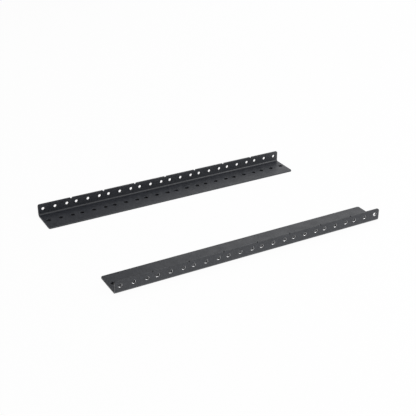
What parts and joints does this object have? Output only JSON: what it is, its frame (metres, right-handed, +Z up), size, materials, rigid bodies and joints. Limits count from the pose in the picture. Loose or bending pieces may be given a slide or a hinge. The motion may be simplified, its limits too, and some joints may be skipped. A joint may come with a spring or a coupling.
{
  "type": "pair of rack mounting rails",
  "caption": "Pair of black angle-section rack rails, punched with the universal screw hole pattern on both flanges and notched at every rack unit, to carry rack equipment in a case.",
  "frame": {"origin": "on the ground, at the middle of the pair", "axes": "+X along the rails, +Y across the pair towards the back rail, +Z up"},
  "size_m": [0.3664, 0.215, 0.0165],
  "materials": {
    "black_coat": "satin black coat",
    "bare_thread": "bare cut steel"
  },
  "bodies": {
    "root": {"back_rail": "black_coat", "front_rail": "black_coat"}
  },
  "joints": []
}
